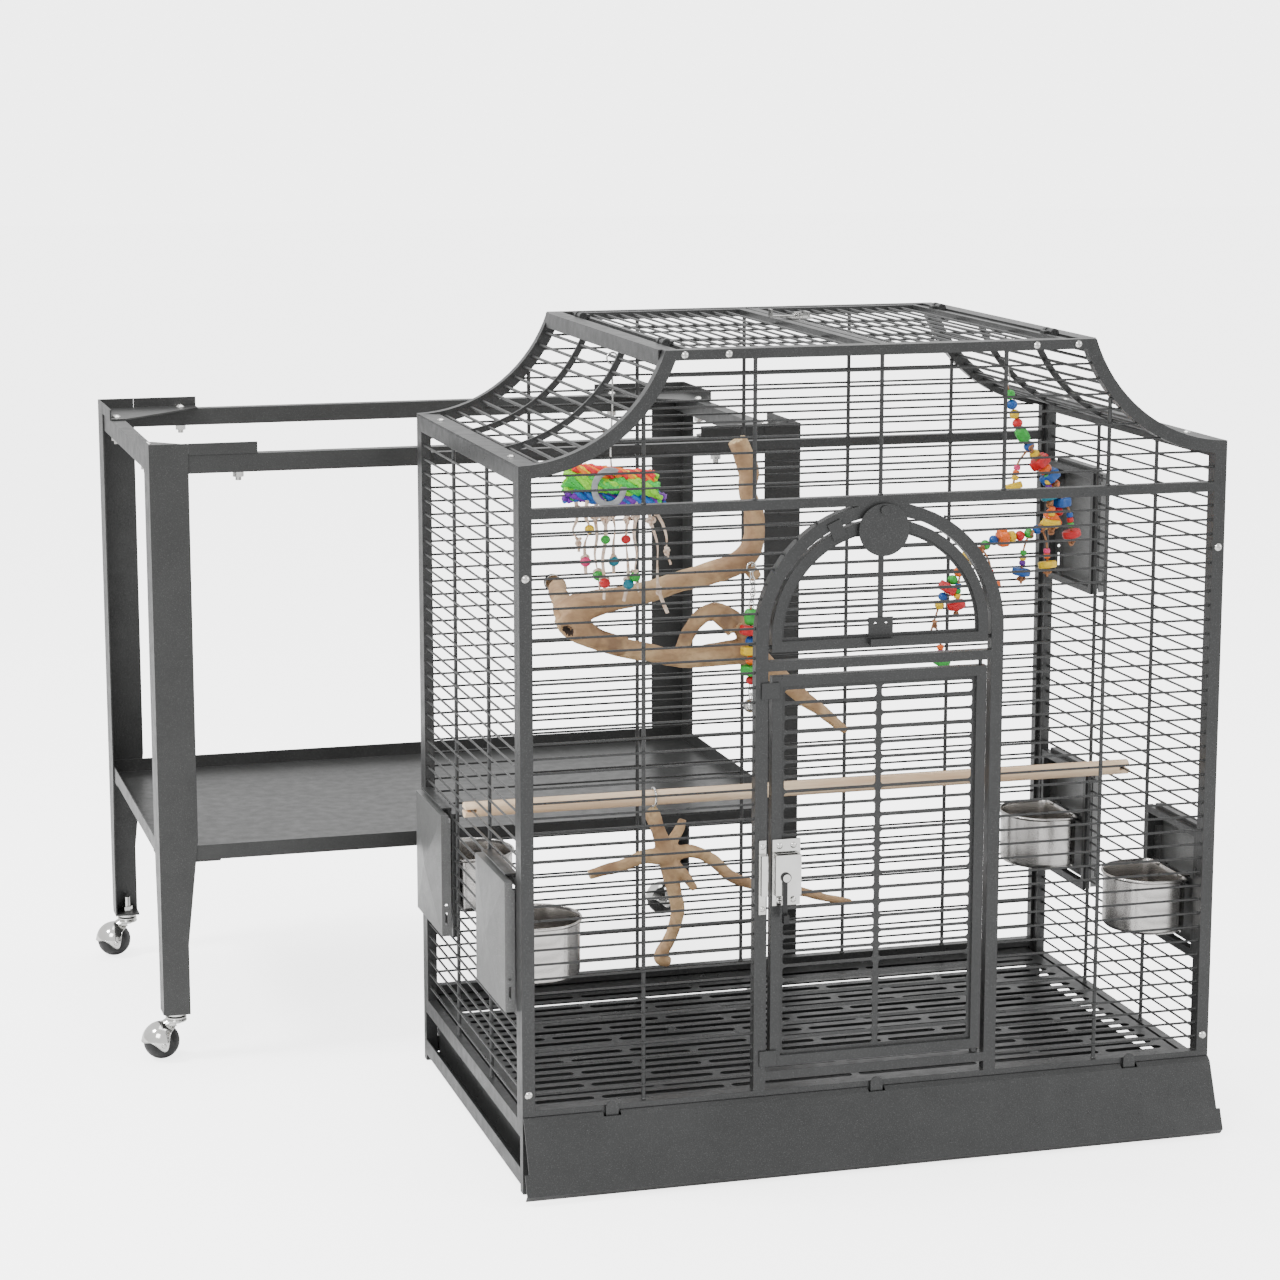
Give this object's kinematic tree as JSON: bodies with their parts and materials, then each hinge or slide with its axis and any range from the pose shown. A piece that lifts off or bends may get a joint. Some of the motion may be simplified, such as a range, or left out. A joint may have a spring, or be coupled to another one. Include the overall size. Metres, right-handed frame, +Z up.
{
  "type": "bird cage with stand",
  "caption": "Large wire bird cage with curved open-top roof, front doors, feeder hatches and drop tray, beside its wheeled stand.",
  "frame": {"origin": "on the floor, under the middle of the whole set's bounding box", "axes": "+Z up, -Y is the cage's front, +X to the right seen from the front; the stand is behind the cage, set off to the left"},
  "size_m": [1.3156, 1.277, 1.046],
  "materials": {
    "frame_coat": "dark grey hammered powder coat",
    "chrome": "polished",
    "wheel_rubber": "matte black",
    "bowl_steel": "satin",
    "black_plastic": "satin",
    "dowel": "plain turned wood",
    "branch_wood": "debarked natural branch",
    "toy_fabric": "woven rope",
    "toy_wood": "dyed beads",
    "toy_plastic": "gloss"
  },
  "bodies": {
    "stand": {"leg_front_left": "frame_coat", "leg_front_right": "frame_coat", "leg_rear_left": "frame_coat", "leg_rear_right": "frame_coat", "rails_long": "frame_coat", "rails_short": "frame_coat", "corner_brackets": "frame_coat", "stand_bolts": "chrome", "shelf": "frame_coat", "shelf_gussets": "frame_coat", "caster_stems": "chrome"},
    "caster_fl": {"caster_hood_fl": "chrome"},
    "roller_fl": {"wheel_fl": "wheel_rubber"},
    "caster_fr": {"caster_hood_fr": "chrome"},
    "roller_fr": {"wheel_fr": "wheel_rubber"},
    "caster_rl": {"caster_hood_rl": "chrome"},
    "roller_rl": {"wheel_rl": "wheel_rubber"},
    "caster_rr": {"caster_hood_rr": "chrome"},
    "roller_rr": {"wheel_rr": "wheel_rubber"},
    "cage": {"front_frame": "frame_coat", "front_bars": "frame_coat", "rear_frame": "frame_coat", "rear_bars": "frame_coat", "side_frame_left": "frame_coat", "side_bars_left": "frame_coat", "side_frame_right": "frame_coat", "side_bars_right": "frame_coat", "roof_curve_left": "frame_coat", "roof_curve_right": "frame_coat", "roof_frame": "frame_coat", "base_rails": "frame_coat", "assembly_screws": "chrome", "catch_keeper": "chrome", "feeder_frames": "frame_coat", "perch": "dowel", "branches": "branch_wood"},
    "flap_left": {"roof_flap_left": "frame_coat"},
    "flap_right": {"roof_flap_right": "frame_coat", "roof_catch": "chrome"},
    "roof_turn": {"roof_lever": "chrome"},
    "floor_grate": {"grate": "frame_coat"},
    "drop_tray": {"tray": "frame_coat"},
    "front_skirt": {"skirt": "frame_coat"},
    "big_door": {"door": "frame_coat", "door_catch": "chrome"},
    "catch_handle": {"door_lever": "black_plastic"},
    "top_door": {"landing_door": "frame_coat"},
    "disc": {"lock_disc": "frame_coat"},
    "feeder_left_front": {"cover_left_front": "frame_coat"},
    "feeder_left_rear": {"cover_left_rear": "frame_coat"},
    "feeder_right_front": {"cover_right_front": "frame_coat"},
    "feeder_right_rear": {"cover_right_rear": "frame_coat"},
    "feeder_right_upper": {"cover_right_upper": "frame_coat"},
    "dish_left_front": {"bowl_left_front": "bowl_steel"},
    "dish_left_rear": {"bowl_left_rear": "bowl_steel"},
    "dish_right_front": {"bowl_right_front": "bowl_steel"},
    "dish_right_rear": {"bowl_right_rear": "bowl_steel"},
    "hanging_rope": {"toy_rope": "toy_fabric"},
    "hanging_beads": {"toy_beads": "toy_wood"},
    "hanging_chain": {"toy_chain": "toy_plastic"}
  },
  "joints": [
    {"name": "cage_lift", "type": "slide", "parent": "stand", "child": "cage", "axis": [0, 0, 1], "range_m": [0, 0.85]},
    {"name": "caster_turn_fl", "type": "hinge", "parent": "stand", "child": "caster_fl", "pos_m": [-0.6088, 0.0725, 0.05], "axis": [0, 0, 1], "continuous": true},
    {"name": "wheel_roll_fl", "type": "hinge", "parent": "caster_fl", "child": "roller_fl", "pos_m": [-0.6298, 0.0725, 0.025], "axis": [0, 1, 0], "continuous": true},
    {"name": "caster_turn_fr", "type": "hinge", "parent": "stand", "child": "caster_fr", "pos_m": [0.2742, 0.0725, 0.05], "axis": [0, 0, 1], "continuous": true},
    {"name": "wheel_roll_fr", "type": "hinge", "parent": "caster_fr", "child": "roller_fr", "pos_m": [0.2532, 0.0725, 0.025], "axis": [0, 1, 0], "continuous": true},
    {"name": "caster_turn_rl", "type": "hinge", "parent": "stand", "child": "caster_rl", "pos_m": [-0.6088, 0.6105, 0.05], "axis": [0, 0, 1], "continuous": true},
    {"name": "wheel_roll_rl", "type": "hinge", "parent": "caster_rl", "child": "roller_rl", "pos_m": [-0.6298, 0.6105, 0.025], "axis": [0, 1, 0], "continuous": true},
    {"name": "caster_turn_rr", "type": "hinge", "parent": "stand", "child": "caster_rr", "pos_m": [0.2742, 0.6105, 0.05], "axis": [0, 0, 1], "continuous": true},
    {"name": "wheel_roll_rr", "type": "hinge", "parent": "caster_rr", "child": "roller_rr", "pos_m": [0.2532, 0.6105, 0.025], "axis": [0, 1, 0], "continuous": true},
    {"name": "door_swing", "type": "hinge", "parent": "cage", "child": "big_door", "pos_m": [0.3132, -0.59, 0.136], "axis": [0, 0, 1], "range_deg": [0, 120]},
    {"name": "door_lever_turn", "type": "hinge", "parent": "big_door", "child": "catch_handle", "pos_m": [0.0547, -0.6104, 0.381], "axis": [0, 1, 0], "range_deg": [0, 90]},
    {"name": "landing_door_fold", "type": "hinge", "parent": "cage", "child": "top_door", "pos_m": [0.1797, -0.59, 0.667], "axis": [1, 0, 0], "range_deg": [0, 90]},
    {"name": "lock_disc_turn", "type": "hinge", "parent": "cage", "child": "disc", "pos_m": [0.1797, -0.6017, 0.832], "axis": [0, 1, 0], "range_deg": [0, 180]},
    {"name": "roof_flap_left_open", "type": "hinge", "parent": "cage", "child": "flap_left", "pos_m": [-0.07347, -0.3115, 1.034], "axis": [0, -1, 0], "range_deg": [0, 110]},
    {"name": "roof_flap_right_open", "type": "hinge", "parent": "cage", "child": "flap_right", "pos_m": [0.43287, -0.3115, 1.034], "axis": [0, 1, 0], "range_deg": [0, 110]},
    {"name": "roof_lever_turn", "type": "hinge", "parent": "flap_right", "child": "roof_turn", "pos_m": [0.1947, -0.2203, 1.037], "axis": [0, 0, 1], "range_deg": [0, 90]},
    {"name": "skirt_draw", "type": "slide", "parent": "cage", "child": "front_skirt", "axis": [0, -1, 0], "range_m": [0, 0.45]},
    {"name": "tray_slide", "type": "slide", "parent": "cage", "child": "drop_tray", "axis": [0, -1, 0], "range_m": [0, 0.45]},
    {"name": "grate_slide", "type": "slide", "parent": "cage", "child": "floor_grate", "axis": [0, -1, 0], "range_m": [0, 0.45]},
    {"name": "cover_left_front_lift", "type": "hinge", "parent": "cage", "child": "feeder_left_front", "pos_m": [-0.2848, -0.4895, 0.383], "axis": [0, 1, 0], "range_deg": [0, 100]},
    {"name": "cover_left_rear_lift", "type": "hinge", "parent": "cage", "child": "feeder_left_rear", "pos_m": [-0.2848, -0.1335, 0.383], "axis": [0, 1, 0], "range_deg": [0, 100]},
    {"name": "cover_right_front_lift", "type": "hinge", "parent": "cage", "child": "feeder_right_front", "pos_m": [0.6442, -0.4895, 0.383], "axis": [0, -1, 0], "range_deg": [0, 100]},
    {"name": "cover_right_rear_lift", "type": "hinge", "parent": "cage", "child": "feeder_right_rear", "pos_m": [0.6442, -0.1335, 0.383], "axis": [0, -1, 0], "range_deg": [0, 100]},
    {"name": "cover_right_upper_lift", "type": "hinge", "parent": "cage", "child": "feeder_right_upper", "pos_m": [0.6442, -0.1335, 0.802], "axis": [0, -1, 0], "range_deg": [0, 100]},
    {"name": "bowl_left_front_lift", "type": "slide", "parent": "cage", "child": "dish_left_front", "axis": [0, 0, 1], "range_m": [0, 0.025]},
    {"name": "bowl_left_rear_lift", "type": "slide", "parent": "cage", "child": "dish_left_rear", "axis": [0, 0, 1], "range_m": [0, 0.025]},
    {"name": "bowl_right_front_lift", "type": "slide", "parent": "cage", "child": "dish_right_front", "axis": [0, 0, 1], "range_m": [0, 0.025]},
    {"name": "bowl_right_rear_lift", "type": "slide", "parent": "cage", "child": "dish_right_rear", "axis": [0, 0, 1], "range_m": [0, 0.025]},
    {"name": "rope_swing", "type": "hinge", "parent": "cage", "child": "hanging_rope", "pos_m": [-0.10087, -0.3725, 1.00541], "axis": [0, 1, 0], "range_deg": [-8, 8]},
    {"name": "beads_swing", "type": "hinge", "parent": "cage", "child": "hanging_beads", "pos_m": [0.46027, -0.3015, 1.00541], "axis": [0, 1, 0], "range_deg": [-8, 8]},
    {"name": "chain_swing", "type": "hinge", "parent": "cage", "child": "hanging_chain", "pos_m": [0.0992, -0.3245, 0.724], "axis": [0, 1, 0], "range_deg": [-8, 8]}
  ],
  "couplings": [
    {"joint": "tray_slide", "follows": "skirt_draw", "ratio": 1},
    {"joint": "grate_slide", "follows": "skirt_draw", "ratio": 1}
  ]
}
